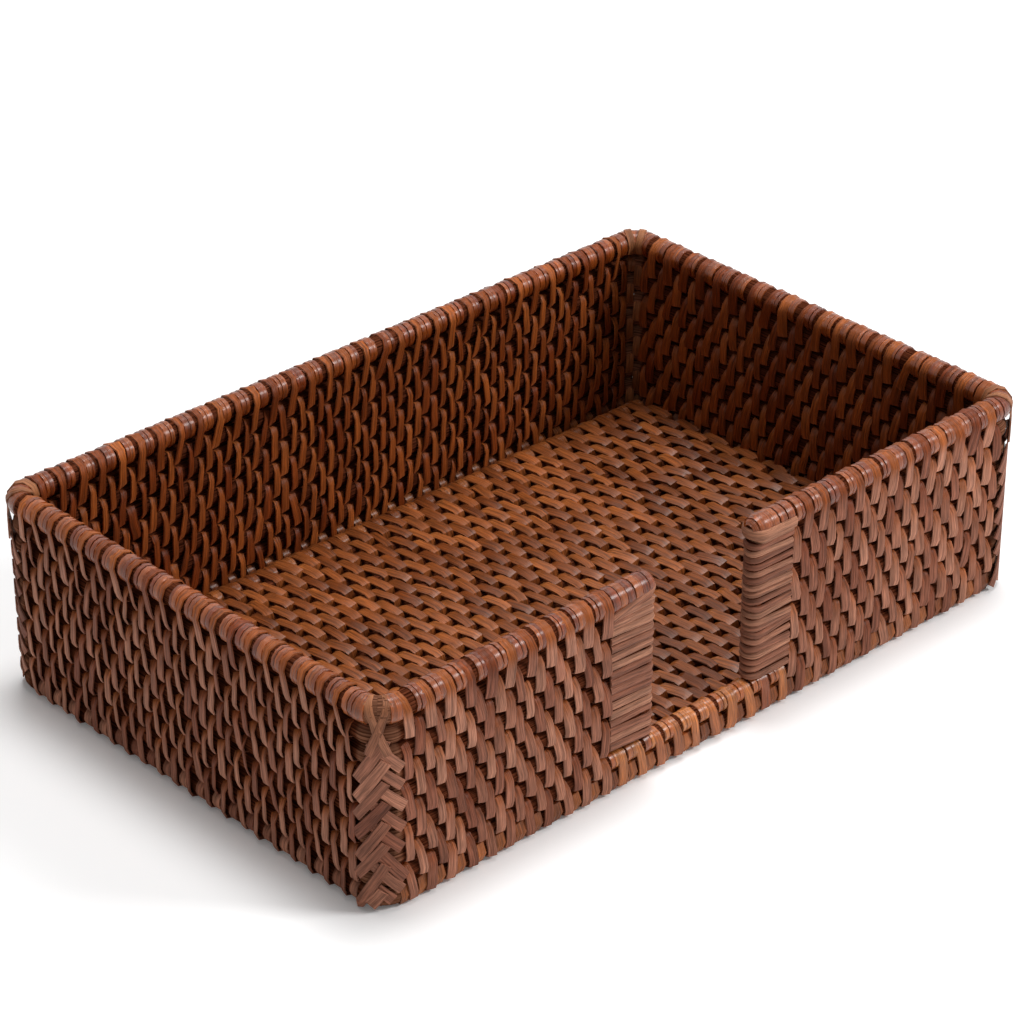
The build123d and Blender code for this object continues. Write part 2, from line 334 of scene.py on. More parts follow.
def loops(side, along, first, last, radii, lean, width, thickness):
    """Strips wound once round two rods, at heights first and last. Each is an arc over the first
    rod, a run down the outside that flares at its foot, an arc under the last rod and a run back up.
    A twist lifts the right edge, so that each strip laps over the next one."""
    count = len(along)
    middle = (first + last) / 2
    flat = (radii[0] + radii[1]) / 2
    stretches = [3, 1, 5, 1, 2]
    turn = np.radians([90, 45, 0, 0, 0, -45, -90, -135, -180, 180, 180, 135])
    reach = np.repeat([radii[0], flat, radii[1], flat, radii[0]], stretches)
    level = np.repeat([first, middle, last, middle, first], stretches)
    out = reach * np.cos(turn)
    up = level + reach * np.sin(turn)
    turn[[5, 7]] = np.radians([-foot_degrees, foot_degrees - 180])

    # At each point: the share of the twist, of the flare and of the foot's push outward,
    # the share of the width, and how polished it is. The polished colour is redder and, on the wall
    # strips, darker; on the top arc and under the last rod that darkening is partly painted shade.
    lift = np.array([0.1, 0.6, 1, 1, 1, 0.7, 0.1, 0.7, 1, 1, 1, 0.6])
    puff = np.array([0, 0, 0.1, 0.5, 1, 0.9, 0, -0.5, -0.6, -0.4, 0, 0])
    foot = np.array([0, 0, 0, 0, 0, 1, 0, -1, 0, 0, 0, 0])
    taper = np.array([1.08, 0.97, 0.94, 0.98, 1.0, 1.03, 1.2, 1.03, 1.0, 0.96, 0.93, 0.93])
    polish_side = np.array([1, 0.95, 0.5, 0.08, 0, 0.05, 0.5, 0.9, 1, 1, 1, 1])
    if side == "floor":
        lift[7:] = 0
        puff[7:] = 0
    else:
        near_rim = soft_step(up, rim_z - polish_start_depth, rim_z - polish_full_depth)
        polish_side = np.maximum(polish_side, near_rim)

    flare = chance.uniform(*flare_sizes, (count, 1))
    twist = np.radians(twist_degrees + chance.normal(0, twist_spread_degrees, (count, 1))) * lift
    out = out + twist_lift_share * width / 2 * np.sin(twist) * np.sign(out)
    out = out + flare * puff + radii[1] * foot_share * foot
    tilt = np.tan(np.radians(lean + chance.normal(0, lean_spread_degrees, (count, 1))))
    arch = np.cos(np.pi * (up - middle) / (first - last + 2 * flat))
    arch = chance.normal(bow, bow_spread, (count, 1)) * arch
    shift = along[:, None] + chance.normal(0, column_spread, (count, 1)) - tilt * (up - middle) + arch
    path = on_side(side, shift, out, np.broadcast_to(up, out.shape))
    facing = toward(side, np.zeros_like(out), np.broadcast_to(np.cos(turn), out.shape), np.sin(turn))
    half = width / 2 * chance.uniform(*strip_width_shares, (count, 1)) * taper
    thick = thickness * chance.uniform(*strip_thickness_shares, (count, 1))
    tone = chance.uniform(0, 1, count)
    polish = np.broadcast_to(polish_side, out.shape)
    return carry(strip_section, path, facing, half, thick, True, tone, polish, twist)


def wraps(side, along, height, radius, lean, width, thickness, polish):
    """Strips wound once round one rod: a circle whose points slide along the rod with their height."""
    count = len(along)
    out = np.broadcast_to(radius * np.cos(wrap_turn), (count, wrap_steps))
    up = np.broadcast_to(height + radius * np.sin(wrap_turn), (count, wrap_steps))
    tilt = np.tan(np.radians(lean + chance.normal(0, wrap_lean_spread_degrees, (count, 1))))
    shift = along[:, None] + chance.normal(0, wrap_spread, (count, 1)) - tilt * (up - height)
    path = on_side(side, shift, out, up)
    facing = toward(side, np.zeros_like(out), out / radius, (up - height) / radius)
    half = width / 2 * chance.uniform(*wrap_width_shares, (count, 1))
    thick = thickness * chance.uniform(*wrap_thickness_shares, (count, 1))
    tone = chance.uniform(0, 1, count)
    return carry(strip_section, path, facing, half, thick, True, tone, np.full(out.shape, polish))


def level_rods(wall, low, high, heights, radius, bend_low, bend_high, dome=0, tall=1.0):
    """Round rods along a wall at several heights. A bent end turns an eighth of a circle inward
    and swells a little, and the end on the dome side is a half ball. Tall is height over width."""
    run_low = low + bend_radius if bend_low else low
    run_high = high - bend_radius if bend_high else high
    along = np.linspace(run_low, run_high, rod_steps)
    inward = np.zeros(rod_steps)
    face = np.zeros(rod_steps)
    ahead = bend_radius * np.sin(bend_turn)
    aside = bend_radius * (1 - np.cos(bend_turn))
    if bend_low:
        along = np.concatenate([run_low - ahead[::-1], along])
        inward = np.concatenate([aside[::-1], inward])
        face = np.concatenate([-bend_turn[::-1], face])
    if bend_high:
        along = np.concatenate([along, run_high + ahead])
        inward = np.concatenate([inward, aside])
        face = np.concatenate([face, bend_turn])
    swell = 1 + bend_swell_share * soft_step(np.abs(face), 0, swell_turn)
    girth = radius * swell
    rise = radius * np.maximum(swell, tall)
    if dome:
        ball = dome_turn[::dome]
        tip = (high if dome > 0 else low) + dome * radius * np.sin(ball)
        round_end = radius * np.cos(ball)
        none = np.zeros_like(ball)
        grown = ((along, tip), (inward, none), (face, none), (girth, round_end), (rise, round_end))
        along, inward, face, girth, rise = (np.concatenate(pair[::dome]) for pair in grown)
    heights = np.asarray(heights)[:, None]
    path = on_side(wall, along, -inward, np.broadcast_to(heights, (len(heights), len(along))))
    zero = np.zeros(path.shape[:2])
    facing = toward(wall, zero + np.sin(face), zero + np.cos(face), zero)
    tone = chance.uniform(0, 1, len(heights))
    # The bent ends are marked to keep the core's own paler colour; the rest of each rod gets its painted
    # shade
    return carry(rod_section, path, facing, rise, girth, False, tone, zero + (face != 0))


def wall_weave(wall, along, number, lean, lone_last):
    """The two-rod strips of a wall: even columns start at the rim, odd ones at the first rod. Where
    lone_last is set, the columns that stop one rod short get a wrap round the last rod."""
    surfaces = []
    for kind in (0, 1):
        places = along[number % 2 == kind]
        for row in range(kind, row_count, 2):
            radii = row_radius[row : row + 2] + seat
            width = strip_width * (rim_strip_width_share if row == 0 else 1)
            thick = rim_strip_thickness if row == 0 else strip_thickness
            surfaces.append(loops(wall, places, row_z[row], row_z[row + 1], radii, lean, width, thick))
        if lone_last and kind == row_count % 2:
            radius = rod_radius + seat
            surfaces.append(
                wraps(wall, places, row_z[-1], radius, lean, strip_width, strip_thickness, foot_polish)
            )
    return surfaces


def rim_wraps(wall, along, width):
    """Wraps of one width round the straight stretch of a rim."""
    radius = core_radius + seat
    look = (wrap_lean_degrees, width, rim_strip_thickness)
    return [wraps(wall, along, rim_z, radius, *look, polish=1.0)]


def two_turns(along, width):
    """Splits wraps of one width into two turns side by side, which leave some of the rod bare at
    their left: the middles and widths of all the turns."""
    share = chance.uniform(*turn_shares, len(along))
    bare = chance.uniform(*bare_shares, len(along)) * width
    along = along + bare / 2
    width = width - bare
    middles = np.append(along - (1 - share) * width / 2, along + share * width / 2)
    return middles, (np.append(share * width, (1 - share) * width) - turn_gap)[:, None]


def wide_wraps(wall, along):
    """The wide wraps of a rim, between the narrow strips that go down to the first rod."""
    pitch = np.diff(along).min()
    middles, widths = two_turns(along, pitch - rim_strip_cover_share * strip_width - side_gap)
    return rim_wraps(wall, middles, widths)


def bend_wraps(wall, half, ends):
    """The last wraps on a bent end of a rim, turned with the bend. They are wider outside the bend.
    Ends gives the side of each end and how far round its bend the wraps lie, in degrees."""
    radius = core_radius + seat
    half_width = (bend_wrap_width + bend_wrap_flare * np.cos(wrap_turn)) / 2
    surfaces = []
    for end, bends in ends:
        bend = np.radians(bends)[:, None] * end
        reach = bend_radius + radius * np.cos(wrap_turn)
        along = end * (half - bend_radius) + reach * np.sin(bend)
        out = reach * np.cos(bend) - bend_radius
        up = np.broadcast_to(rim_z + radius * np.sin(wrap_turn), along.shape)
        path = on_side(wall, along, out, up)
        level = np.cos(wrap_turn)
        facing = toward(wall, level * np.sin(bend), level * np.cos(bend), 0 * bend + np.sin(wrap_turn))
        tone = chance.uniform(0, 1, len(bends))
        polish = np.ones(along.shape)
        surfaces.append(
            carry(strip_section, path, facing, half_width, rim_strip_thickness, True, tone, polish)
        )
    return surfaces


def tip_wraps(stop, outward):
    """Wraps on the half ball at the gap end of a rim: circles round it that shrink towards its tip."""
    ball = np.radians(tip_wrap_degrees)[:, None]
    radius = core_radius + seat
    along = stop + outward * radius * np.sin(ball) + 0 * wrap_turn
    out = radius * np.cos(ball) * np.cos(wrap_turn)
    up = radius * np.cos(ball) * np.sin(wrap_turn)
    path = on_side("front", along, out, rim_z + up)
    facing = toward("front", outward * np.sin(ball) + 0 * wrap_turn, out / radius, up / radius)
    tone = chance.uniform(0, 1, len(ball))
    half = np.broadcast_to(np.array(tip_wrap_widths)[:, None] / 2, along.shape)
    return [carry(strip_section, path, facing, half, tip_wrap_thickness, True, tone, np.ones(along.shape))]


def lashing(x_side, y_side):
    """Crossed strips round a corner, centred between the rods. Each climbs at a steady slope round
    an upright cylinder: one layer falls to the right, and a steeper one rises to the right over it."""
    middle = (row_z[1:-1] + row_z[2:])[:, None] / 2
    count = len(middle)
    diagonal = math.atan2(y_side, x_side)
    share = np.linspace(0, 1, lash_steps)
    surfaces = []
    for layer, (low, high, slope) in enumerate(lash_layers):
        radius = bend_radius + rod_radius * (1 + bend_swell_share) + seat + layer * lash_thickness
        ends = np.array([low, high]) + chance.normal(0, lash_end_spread_degrees, (count, 2))
        ends[-1] *= lowest_lash_share
        swing = np.radians(ends[:, :1] + (ends[:, 1:] - ends[:, :1]) * share)
        slopes = np.radians(slope + chance.normal(0, lash_slope_spread_degrees, (count, 1)))
        climb = middle + swing * radius * np.tan(slopes)
        climb = climb + chance.normal(0, lash_height_spread, (count, 1))
        climb = np.maximum(climb, lash_width / 2)
        facing = np.stack([np.cos(diagonal + swing), np.sin(diagonal + swing), np.zeros_like(swing)], -1)
        path = facing * radius
        path += np.stack(np.broadcast_arrays(x_side * long_run, y_side * short_run, climb), -1)
        half = lash_width / 2 * chance.uniform(*lash_width_shares, (count, 1)) * np.ones_like(share)
        tone = chance.uniform(0, 1, count)
        polish = np.zeros(swing.shape)
        surfaces.append(carry(strip_section, path, facing, half, lash_thickness, False, tone, polish))
    return surfaces + rim_ties(x_side, y_side, diagonal) + corner_inside(x_side, y_side, diagonal)


def rim_ties(x_side, y_side, diagonal):
    """Two strips that cross below the rim's corner. Each climbs past the corner and goes over the
    bent rim on the other side, round a circle just outside its wraps, or its core where it is bare."""
    wrapped = x_side > 0 or y_side > 0
    radius = core_radius + (rim_strip_thickness + seat if wrapped else 2 * seat)
    outer = bend_radius + rod_radius * (1 + bend_swell_share) + 2 * lash_thickness + seat
    feet = len(tie_foot)
    steps = feet + len(tie_over)
    away = np.append(np.full(feet, outer), bend_radius + radius * np.cos(tie_over))
    up = rim_z + np.append(tie_foot, radius * np.sin(tie_over))
    level = np.append(np.ones(feet), np.cos(tie_over))
    swing_degrees = np.minimum(np.linspace(*tie_swing_degrees, steps), tie_swing_limit_degrees)
    swing = diagonal + np.radians(swing_degrees) * np.array([[1], [-1]])
    radial = np.stack([np.cos(swing), np.sin(swing), np.zeros_like(swing)], -1)
    facing = radial * level[:, None]
    facing[..., 2] = np.append(np.zeros(feet), np.sin(tie_over))
    path = radial * away[:, None]
    path += np.stack(np.broadcast_arrays(x_side * long_run, y_side * short_run, up), -1)
    polish = np.broadcast_to(np.linspace(tie_foot_polish, 1, steps), swing.shape)
    half = np.full(swing.shape, tie_width / 2)
    return [carry(strip_section, path, facing, half, lash_thickness, False, np.array(tie_tones), polish)]


def corner_inside(x_side, y_side, diagonal):
    """Two columns of short upright strips inside a corner, which take turns from rod to rod. Each runs
    down over the inner side of one or two bent rods, and its ends go in between the rods."""
    surfaces = []
    share = np.linspace(0, 1, len(inner_strip_tuck_shares))
    reach = inner_strip_reach_share * rod_radius
    inside = bend_radius - rod_radius * (1 + bend_swell_share) - seat
    for start, swing in ((1, -inner_swing_degrees), (0, inner_swing_degrees)):
        rows = np.arange(start, row_count + 1, 2)[:, None]
        first = row_z[np.maximum(rows, 1)] + reach
        last = row_z[np.minimum(rows + 1, row_count)] - reach
        up = first + (last - first) * share
        radius = inside + np.broadcast_to(rod_radius * inner_strip_tuck_shares, up.shape)
        sway = chance.normal(0, inner_swing_spread_degrees, (len(up), 1))
        turn = diagonal + np.radians(swing + sway + inner_slant_degrees * (share - 0.5))
        facing = np.stack(np.broadcast_arrays(-np.cos(turn), -np.sin(turn), 0), -1)
        x = x_side * long_run + radius * np.cos(turn)
        y = y_side * short_run + radius * np.sin(turn)
        path = np.stack([x, y, up], -1)
        half = inner_strip_width / 2 * chance.uniform(*inner_strip_width_shares, (len(up), 1))
        tone = chance.uniform(0, 1, len(up))
        polish = np.ones(up.shape)
        surfaces.append(carry(strip_section, path, facing, half, strip_thickness, False, tone, polish))
    return surfaces


def around_end(outward, bound, centre, reach, wide):
    """A level path along a wall end: in along the outside, round a half ellipse and back inside.
    Gives the places along and out, and the directions that face outward."""
    turn = np.linspace(np.pi / 2, -np.pi / 2, end_steps)
    arm = np.linspace(bound, centre, arm_steps + 1)[:-1]
    along = np.concatenate([arm, centre + outward * reach * np.cos(turn), arm[::-1]])
    out = np.concatenate([np.full(arm_steps, wide), wide * np.sin(turn), np.full(arm_steps, -wide)])
    none, one = np.zeros(arm_steps), np.ones(arm_steps)
    face_along = np.concatenate([none, outward * np.cos(turn) * wide, none])
    face_out = np.concatenate([one, np.sin(turn) * reach, -one])
    size = np.hypot(face_along, face_out)
    return along, out, face_along / size, face_out / size


def wound_strips(route, up, half, thick, polish):
    """Crowned strips that follow one level route at several heights."""
    along, out, face_along, face_out = (np.broadcast_to(part, up.shape) for part in route)
    path = on_side("front", along, out, up)
    facing = toward("front", face_along, face_out, np.zeros(up.shape))
    tone = chance.uniform(0, 1, len(up))
    return carry(crowned_section, path, facing, half, thick, False, tone, np.full(up.shape, polish))


def binding(outward, turns, drop, bound, post, stop, cups):
    """Strips wound round a wall end, one above the other, which drop a little on their way round,
    and the wider last ones that rise along the rim and cup its rounded end."""
    radius = post_radius + seat
    step = (binding_high.z - binding_low.z) / turns
    route = around_end(outward, bound, post, radius, radius)
    middle = binding_low.z + step * (np.arange(turns) + 0.5)[:, None]
    way = np.linspace(-1, 1, len(route[0]))
    tilt = (chance.normal(0, binding_tilt_spread, (turns, 1)) - drop) * way
    sag = chance.normal(0, binding_sag_spread, (turns, 1)) * np.cos(2 * np.pi * way)
    up = np.clip(middle + tilt + sag, binding_low.z + lowest_turn_share * step, binding_high.z)
    half = (step - binding_gap) / 2 * chance.uniform(*binding_width_shares, (turns, 1))
    half = half * (1 + inner_widening_share * soft_step(way, 0, inner_widening_way))
    thick = binding_thickness * chance.uniform(*binding_thickness_shares, (turns, 1))
    surfaces = [wound_strips(route, up, half, thick, binding_polish)]
    rim_radius = core_radius + rim_strip_thickness
    thick = cup_thickness_share * binding_thickness
    for low, high, width in cups:
        rim_half = math.sqrt(max(rim_radius**2 - ((low + high) / 2) ** 2, 0))
        reach = math.sqrt(max(core_radius**2 - high**2, 0)) + 2 * seat
        route = around_end(outward, bound, stop, reach, max(rim_half, radius) + seat)
        climb = np.clip(np.abs(route[0] - bound) / abs(stop - bound), 0, 1)
        up = rim_z + low + (high - low) * climb[None]
        surfaces.append(wound_strips(route, up, width / 2, thick, cup_polish))
    return surfaces


def upright_post(x):
    """A round post: a circle carried straight up."""
    up = np.linspace(post_low.z, post_high.z, post_steps)[None]
    path = on_side("front", np.full(up.shape, x), np.zeros(up.shape), up)
    facing = np.broadcast_to(np.array([1.0, 0, 0]), path.shape)
    tone = np.array([0.5])
    # The whole post gets the core's painted shade
    return [carry(rod_section, path, facing, post_radius, post_radius, False, tone, np.zeros(up.shape))]


def floor_bars(reach):
    """Rods along X, which reach as far both ways: a circle, a little wider than high, carried straight."""
    along = np.linspace(-reach, reach, rod_steps)
    path = np.stack(np.broadcast_arrays(along, floor_y[1:-1, None], floor_z), -1)
    facing = np.broadcast_to(np.array([0.0, 0, 1]), path.shape)
    girth = floor_radius * (1 + floor_swell_share)
    tone = chance.uniform(0, 1, len(path))
    # The whole bar gets the core's painted shade
    return [carry(rod_section, path, facing, girth, floor_radius, False, tone, np.zeros(path.shape[:2]))]


def floor_weave(along, start, stop):
    """Strips along Y round two floor rods each, from rod start to rod stop, and a last one alone."""
    surfaces = []
    radii = np.full(len(floor_y), floor_radius + seat)
    radii[[0, -1]] = rod_radius + seat
    look = (floor_lean_degrees, floor_strip_width, strip_thickness)
    for rod in range(start, stop, 2):
        surfaces.append(loops("floor", along, floor_y[rod + 1], floor_y[rod], radii[[rod + 1, rod]], *look))
    surfaces.append(wraps("floor", along, floor_y[stop], radii[stop], *look, floor_end_polish))
    return surfaces


def linear(code):
    """A colour written as sRGB hex, as linear light with full cover, by the sRGB standard's curve."""
    share = np.array([int(code[place : place + 2], 16) / 255 for place in (1, 3, 5)])
    light = np.where(share <= 0.04045, share / 12.92, ((share + 0.055) / 1.055) ** 2.4)
    return (*light, 1.0)


def add(tree, kind, links=(), **settings):
    """Adds a node. Settings are its own fields, or its inputs where the name starts with in_,
    and links are (input, node, output). Mix has its colours at inputs 6 and 7 and output 2."""
    node = tree.nodes.new(kind)
    for name, value in settings.items():
        if name.startswith("in_"):
            entry = name.removeprefix("in_")
            entry = int(entry) if entry.isdigit() else entry.replace("_", " ")
            node.inputs[entry].default_value = value
        else:
            setattr(node, name, value)
    for entry, source, output in links:
        tree.links.new(source.outputs[output], node.inputs[entry])
    return node


def start_material(name):
    """A node material with nothing in it, and its node tree."""
    material = bpy.data.materials.new(name)
    material.use_nodes = True
    material.node_tree.nodes.clear()
    return material, material.node_tree


def rattan_strip(name, dull, polished, rough, shine, coat):
    """Split rattan, sliced lengthwise and wound damp: pores and fibre strands run along it and
    catch the light as fine grooves. Where wear and varnish polish it, it is redder and glossier.
    On the unvarnished wall strips it is also darker there, and on their tops and tucked ends that
    darkening is partly painted shade.
    Dull and polished are the colours of the darkest and the lightest strip in either state, and
    rough and shine the roughness."""
    material, tree = start_material(name)
    lengths = add(tree, "ShaderNodeUVMap", uv_map="lengths")
    tone = add(tree, "ShaderNodeAttribute", attribute_name="tone")
    polish = add(tree, "ShaderNodeAttribute", attribute_name="polish")

    # Patterns by their count to a millimetre along and across: strands about 0.8 mm wide and
    # 29 mm long, pores about 0.2 mm wide and 5 mm long, blotches about 4 mm wide and 9 mm long
    patterns = []
    for per_mm, detail in (((0.035, 1.25, 1), 1.5), ((0.2, 4.5, 1), 2.0), ((0.11, 0.25, 1), 2.0)):
        space = add(tree, "ShaderNodeMapping", [(0, lengths, 0)], in_Scale=per_mm)
        patterns.append(add(tree, "ShaderNodeTexNoise", [(0, space, 0)], in_Scale=1.0, in_Detail=detail))
    strands, pores, blotches = patterns

    # Each pattern darkens or lightens the strip's own colour, from a darkest to a lightest factor.
    by_tone = [(0, tone, "Fac")]
    ends = [
        add(tree, "ShaderNodeMix", by_tone, data_type="RGBA", in_6=linear(dark), in_7=linear(light))
        for dark, light in (dull, polished)
    ]
    colour = add(
        tree, "ShaderNodeMix", [(0, polish, "Fac"), (6, ends[0], 2), (7, ends[1], 2)], data_type="RGBA"
    )
    output = 2
    for pattern, low, high, darkest, lightest in (
        (strands, 0.33, 0.64, 0.62, 1.16),
        (pores, 0.3, 0.6, 0.54, 1.12),
        (blotches, 0.3, 0.7, 0.82, 1.16),
    ):
        factor = add(
            tree,
            "ShaderNodeMapRange",
            [(0, pattern, 0)],
            in_From_Min=low,
            in_From_Max=high,
            in_To_Min=darkest,
            in_To_Max=lightest,
        )
        links = [(0, colour, output), ("Scale", factor, 0)]
        colour = add(tree, "ShaderNodeVectorMath", links, operation="SCALE")
        output = 0

    # Pores are rougher than the skin between them, and pores and strands are fine grooves.
    gloss = add(tree, "ShaderNodeMapRange", [(0, polish, "Fac")], in_To_Min=rough, in_To_Max=shine)
    uneven = add(
        tree,
        "ShaderNodeMapRange",
        [(0, pores, 0)],
        in_From_Min=0.3,
        in_From_Max=0.7,
        in_To_Min=0.1,
        in_To_Max=-0.06,
    )
    roughness = add(
        tree, "ShaderNodeMath", [(0, gloss, 0), (1, uneven, 0)], operation="ADD", use_clamp=True
    )
    pore_depth_share = 0.45
    relief = add(
        tree,
        "ShaderNodeMath",
        [(0, pores, 0), (2, strands, 0)],
        operation="MULTIPLY_ADD",
        in_1=pore_depth_share,
    )
    bump = add(tree, "ShaderNodeBump", [("Height", relief, 0)], in_Strength=0.9, in_Distance=0.45 * mm)
    shader = add(
        tree,
        "ShaderNodeBsdfPrincipled",
        [("Base Color", colour, 0), ("Roughness", roughness, 0), ("Normal", bump, 0)],
        in_IOR=1.5,
        in_Specular_IOR_Level=0.22,
        in_Coat_Weight=coat,
        in_Coat_Roughness=0.27,
    )
    add(tree, "ShaderNodeOutputMaterial", [(0, shader, 0)])
    return material


def rattan_core(name):
    """Round rattan core, drawn through a die: open grain of long pale and dark fibres, dull all over.
    Under and between the strips it is painted a dark brown for the shade that falls there, and it
    is paler where it lies open at the corners."""
    material, tree = start_material(name)
    lengths = add(tree, "ShaderNodeUVMap", uv_map="lengths")
    bare = add(tree, "ShaderNodeAttribute", attribute_name="polish")

    # Fibres by their count to a millimetre: about 0.5 mm wide and 20 mm long
    space = add(tree, "ShaderNodeMapping", [(0, lengths, 0)], in_Scale=(0.05, 2.2, 1))
    grain = add(tree, "ShaderNodeTexNoise", [(0, space, 0)], in_Scale=1.0, in_Detail=3.0)
    streak = add(tree, "ShaderNodeMapRange", [(0, grain, 0)], in_From_Min=0.36, in_From_Max=0.64)
    # The first colours are painted shade, for the core under the strips; the second are its own paler colours
    # at the open bends
    painted_shade_core, polish_side = (
        add(tree, "ShaderNodeMix", [(0, streak, 0)], data_type="RGBA", in_6=linear(dark), in_7=linear(light))
        for dark, light in (("#2A0E05", "#6A3824"), ("#4A2A1C", "#8F6049"))
    )
    colour = add(tree, "ShaderNodeMix", [(0, bare, "Fac"), (6, painted_shade_core, 2), (7, polish_side, 2)], data_type="RGBA")
    bump = add(tree, "ShaderNodeBump", [("Height", grain, 0)], in_Strength=0.8, in_Distance=0.3 * mm)
    shader = add(
        tree,
        "ShaderNodeBsdfPrincipled",
        [("Base Color", colour, 2), ("Normal", bump, 0)],
        in_Roughness=0.8,
        in_Specular_IOR_Level=0.0,
    )
    add(tree, "ShaderNodeOutputMaterial", [(0, shader, 0)])
    return material


def white_floor(half_side, drop, glow_strength):
    """A matt white floor just below the tray. To the camera it glows a little, so that it is white
    and the shadow stays soft."""
    material, tree = start_material("matt_white_floor")
    matt = add(tree, "ShaderNodeBsdfDiffuse", in_Color=linear("#FFFFFF"))
    path = add(tree, "ShaderNodeLightPath")
    seen = [(0, path, "Is Camera Ray")]
    glow = add(tree, "ShaderNodeMath", seen, operation="MULTIPLY", in_1=glow_strength)
    lit = add(tree, "ShaderNodeEmission", [("Strength", glow, 0)], in_Color=linear("#FFFFFF"))
    both = add(tree, "ShaderNodeAddShader", [(0, matt, 0), (1, lit, 0)])
    add(tree, "ShaderNodeOutputMaterial", [(0, both, 0)])
    mesh = bpy.data.meshes.new("floor")
    corners = np.array([[-1, -1, 0], [1, -1, 0], [1, 1, 0], [-1, 1, 0]]) * half_side
    mesh.from_pydata(corners, [], [[0, 1, 2, 3]])
    mesh.materials.append(material)
    floor = bpy.data.objects.new("floor", mesh)
    floor.location.z = cad_box[0][2] - drop
    bpy.context.scene.collection.objects.link(floor)


def soft_lamp(name, place, aim, size, power):
    """A square soft lamp whose own -Z is turned from its place to an aim."""
    lamp = bpy.data.lights.new(name, "AREA")
    lamp.size = size
    lamp.energy = power
    box = bpy.data.objects.new(name, lamp)
    box.location = place
    x, y, z = np.array(aim) - np.array(place)
    box.rotation_euler = (math.atan2(math.hypot(x, y), -z), 0, math.atan2(y, x) - math.pi / 2)
    bpy.context.scene.collection.objects.link(box)


def studio(fill):
    """White surroundings, which the camera and mirrored rays see in full and which light the tray
    at the strength of fill, with one large lamp overhead and a weaker one at the front right."""
    world = bpy.data.worlds.new("studio")
    bpy.context.scene.world = world
    world.use_nodes = True
    tree = world.node_tree
    tree.nodes.clear()
    path = add(tree, "ShaderNodeLightPath")
    direct = [(0, path, "Is Camera Ray"), (1, path, "Is Transmission Ray")]
    seen = add(tree, "ShaderNodeMath", direct, operation="MAXIMUM")
    mirrored = add(tree, "ShaderNodeMath", [(0, seen, 0), (1, path, "Is Glossy Ray")], operation="MAXIMUM")
    strength = add(tree, "ShaderNodeMapRange", [(0, mirrored, 0)], in_To_Min=fill, in_To_Max=1.0)
    light = add(tree, "ShaderNodeBackground", [("Strength", strength, 0)], in_Color=linear("#FFFFFF"))
    add(tree, "ShaderNodeOutputWorld", [(0, light, 0)])
    soft_lamp("overhead_softbox", place=(0.3, 0.2, 2.4), aim=(0, 0, 0), size=0.95, power=43)
    soft_lamp("front_softbox", place=(0.86, -0.99, 1.04), aim=(0, 0, 0.03), size=0.42, power=13.6)


def camera(place, down_degrees, right_degrees, focal_length):
    """The camera, turned down from level and to the right of +Y. Its place, angles and focal
    length are fitted to the tray's edges."""
    lens = bpy.data.cameras.new("camera")
    lens.sensor_width = 36.0
    lens.lens = focal_length
    eye = bpy.data.objects.new("camera", lens)
    eye.location = place
    eye.rotation_euler = (math.radians(90 - down_degrees), 0, math.radians(-right_degrees))
    bpy.context.scene.collection.objects.link(eye)
    bpy.context.scene.camera = eye


def dress_wall(wall, rim_bar, rods, rim_strips, weave):
    """The four pieces of a wall, or of a stretch of the front wall."""
    make_piece("rim_bar_" + wall, rim_bar, core, "rattan_core", "rim_core_" + wall)
    make_piece("wall_rods_" + wall, rods, core, "rattan_core", "rods_" + wall)
    make_piece("rim_wrap_" + wall, rim_strips, rim_peel, "rattan_rim_strip", "rim_wraps_" + wall)
    make_piece("weave_" + wall, weave, peel, "rattan_peel_strip", "weave_strips_" + wall)


# Bare core: a dark brown of painted shade between the strips, so that the weave reads as separate strips
core = rattan_core("rattan_core")

# Unvarnished peel: a dull pinkish brown outside, darker and warmer where it turns over the rim or
# faces in. On the tops and tucked ends of the strips the darker colour is partly painted shade.
peel = rattan_strip(
    "rattan_peel_strip", ("#884E38", "#BE8369"), ("#7C3612", "#AC5C28"), rough=0.62, shine=0.4, coat=0.0
)

# Varnished rim wraps: a deep red brown with a highlight along the rim
rim_peel = rattan_strip(
    "varnished_rattan_strip", ("#76300E", "#9A4A20"), ("#7A320E", "#A85622"), rough=0.38, shine=0.28, coat=0.5
)

# Pale peel of the bindings: a dry, even brown without a highlight
pale_peel = rattan_strip(
    "pale_rattan_strip", ("#8A5440", "#B47E64"), ("#8C4E28", "#B27042"), rough=0.62, shine=0.42, coat=0.0
)

# Dull peel of the corners: as dry, with darker and lighter strips side by side
corner_peel = rattan_strip(
    "dull_rattan_strip", ("#7C4632", "#B67A60"), ("#7C4422", "#A66A40"), rough=0.62, shine=0.45, coat=0.0
)

# Varnished sill: the lightest orange brown of the tray, as glossy as the rim
sill_peel = rattan_strip(
    "varnished_sill_strip", ("#9A4C22", "#C07038"), ("#A05024", "#C8783C"), rough=0.38, shine=0.28, coat=0.5
)

# Floor strips under a thin varnish: a warm brown with a faint gloss
floor_peel = rattan_strip(
    "varnished_floor_strip", ("#743A16", "#A0582A"), ("#7A3C18", "#AE6632"), rough=0.42, shine=0.32, coat=0.2
)

long_places = columns(long_run)
short_places = columns(short_run)
number = np.arange(len(long_places))
column_pitch = np.diff(long_places)[0]

